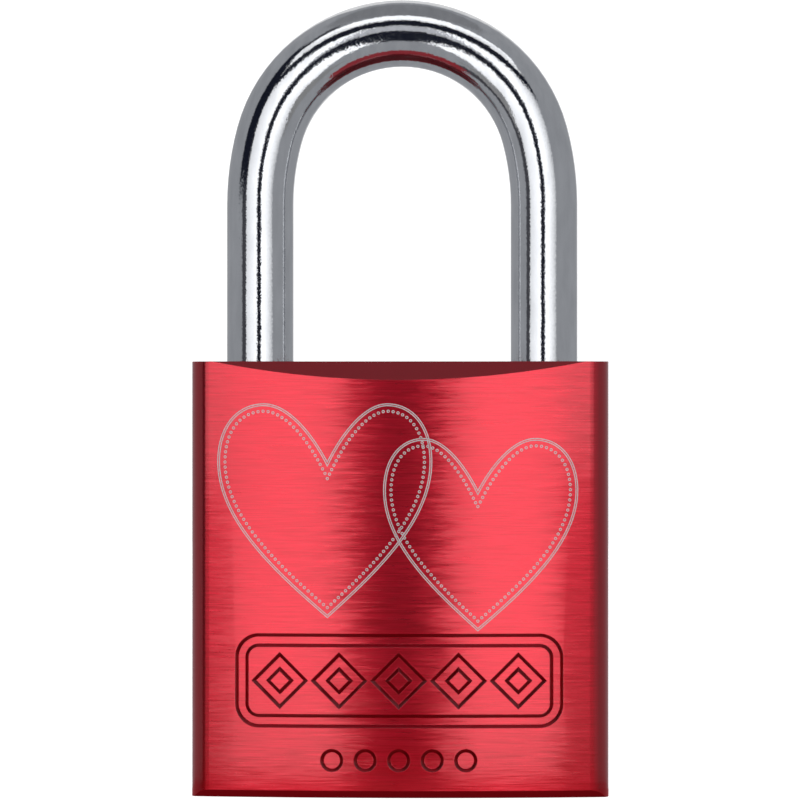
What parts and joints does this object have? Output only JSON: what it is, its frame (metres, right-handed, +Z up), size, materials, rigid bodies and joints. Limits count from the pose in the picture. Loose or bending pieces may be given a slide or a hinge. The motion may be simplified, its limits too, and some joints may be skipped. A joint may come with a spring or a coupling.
{
  "type": "keyed padlock",
  "caption": "Compact padlock with a bowed solid aluminium body, a round steel shackle, and a pin cylinder whose cam drives bolts into both shackle legs.",
  "frame": {"origin": "centre of the underside of the body, on the surface that it stands on", "axes": "+Z up through the shackle, front face towards -Y, short toe leg of the shackle towards +X"},
  "size_m": [0.04, 0.019, 0.0768],
  "materials": {
    "anodised_aluminium": "red anodised, brushed across",
    "chromed_steel": "polished chrome plate",
    "brass": "machined",
    "nickel_silver": "turned nickel silver",
    "spring_steel": "drawn wire",
    "bolt_steel": "ground hardened steel",
    "black_steel": "black oxide",
    "zinc": "die-cast zinc alloy"
  },
  "bodies": {
    "case": {"lock_body": "anodised_aluminium", "cylinder_housing": "brass", "spring_cover": "brass", "shackle_dowel": "bolt_steel", "housing_screw": "black_steel", "shackle_spring": "spring_steel", "driver_spring_1": "spring_steel", "driver_spring_2": "spring_steel", "driver_spring_3": "spring_steel", "driver_spring_4": "spring_steel", "driver_spring_5": "spring_steel"},
    "shackle": {"shackle": "chromed_steel"},
    "plug": {"plug": "brass", "cam": "zinc", "plug_clip": "spring_steel"},
    "heel_bolt": {"heel_bolt": "bolt_steel"},
    "toe_bolt": {"toe_bolt": "bolt_steel"},
    "key_pin_1": {"key_pin_1": "brass"},
    "driver_pin_1": {"driver_pin_1": "nickel_silver"},
    "key_pin_2": {"key_pin_2": "brass"},
    "driver_pin_2": {"driver_pin_2": "nickel_silver"},
    "key_pin_3": {"key_pin_3": "brass"},
    "driver_pin_3": {"driver_pin_3": "nickel_silver"},
    "key_pin_4": {"key_pin_4": "brass"},
    "driver_pin_4": {"driver_pin_4": "nickel_silver"},
    "key_pin_5": {"key_pin_5": "brass"},
    "driver_pin_5": {"driver_pin_5": "nickel_silver"}
  },
  "joints": [
    {"name": "shackle_lift", "type": "slide", "parent": "case", "child": "shackle", "axis": [0, 0, 1], "range_m": [0, 0.0125], "deforming": ["shackle_spring"]},
    {"name": "plug_turn", "type": "hinge", "parent": "case", "child": "plug", "pos_m": [0, 0, 0.0004], "axis": [0, 0, 1], "range_deg": [-90, 0]},
    {"name": "heel_bolt_slide", "type": "slide", "parent": "case", "child": "heel_bolt", "axis": [-1, 0, 0], "range_m": [0, 0.00195]},
    {"name": "toe_bolt_slide", "type": "slide", "parent": "case", "child": "toe_bolt", "axis": [1, 0, 0], "range_m": [0, 0.00195]},
    {"name": "key_pin_1_slide", "type": "slide", "parent": "plug", "child": "key_pin_1", "axis": [0, 1, 0], "range_m": [-0.0027, 0]},
    {"name": "key_pin_2_slide", "type": "slide", "parent": "plug", "child": "key_pin_2", "axis": [0, 1, 0], "range_m": [-0.0015, 0]},
    {"name": "key_pin_3_slide", "type": "slide", "parent": "plug", "child": "key_pin_3", "axis": [0, 1, 0], "range_m": [-0.0023, 0]},
    {"name": "key_pin_4_slide", "type": "slide", "parent": "plug", "child": "key_pin_4", "axis": [0, 1, 0], "range_m": [-0.0011, 0]},
    {"name": "key_pin_5_slide", "type": "slide", "parent": "plug", "child": "key_pin_5", "axis": [0, 1, 0], "range_m": [-0.0019, 0]},
    {"name": "driver_pin_1_slide", "type": "slide", "parent": "case", "child": "driver_pin_1", "axis": [1, 0, 0], "range_m": [0, 0.0018], "stiffness_N_per_m": 300, "springref_m": -0.004, "deforming": ["driver_spring_1"]},
    {"name": "driver_pin_2_slide", "type": "slide", "parent": "case", "child": "driver_pin_2", "axis": [1, 0, 0], "range_m": [0, 0.0018], "stiffness_N_per_m": 300, "springref_m": -0.004, "deforming": ["driver_spring_2"]},
    {"name": "driver_pin_3_slide", "type": "slide", "parent": "case", "child": "driver_pin_3", "axis": [1, 0, 0], "range_m": [0, 0.0018], "stiffness_N_per_m": 300, "springref_m": -0.004, "deforming": ["driver_spring_3"]},
    {"name": "driver_pin_4_slide", "type": "slide", "parent": "case", "child": "driver_pin_4", "axis": [1, 0, 0], "range_m": [0, 0.0018], "stiffness_N_per_m": 300, "springref_m": -0.004, "deforming": ["driver_spring_4"]},
    {"name": "driver_pin_5_slide", "type": "slide", "parent": "case", "child": "driver_pin_5", "axis": [1, 0, 0], "range_m": [0, 0.0018], "stiffness_N_per_m": 300, "springref_m": -0.004, "deforming": ["driver_spring_5"]}
  ],
  "couplings": [
    {"joint": "heel_bolt_slide", "follows": "plug_turn", "m_per_rad": -0.0012414},
    {"joint": "toe_bolt_slide", "follows": "plug_turn", "m_per_rad": -0.0012414}
  ]
}
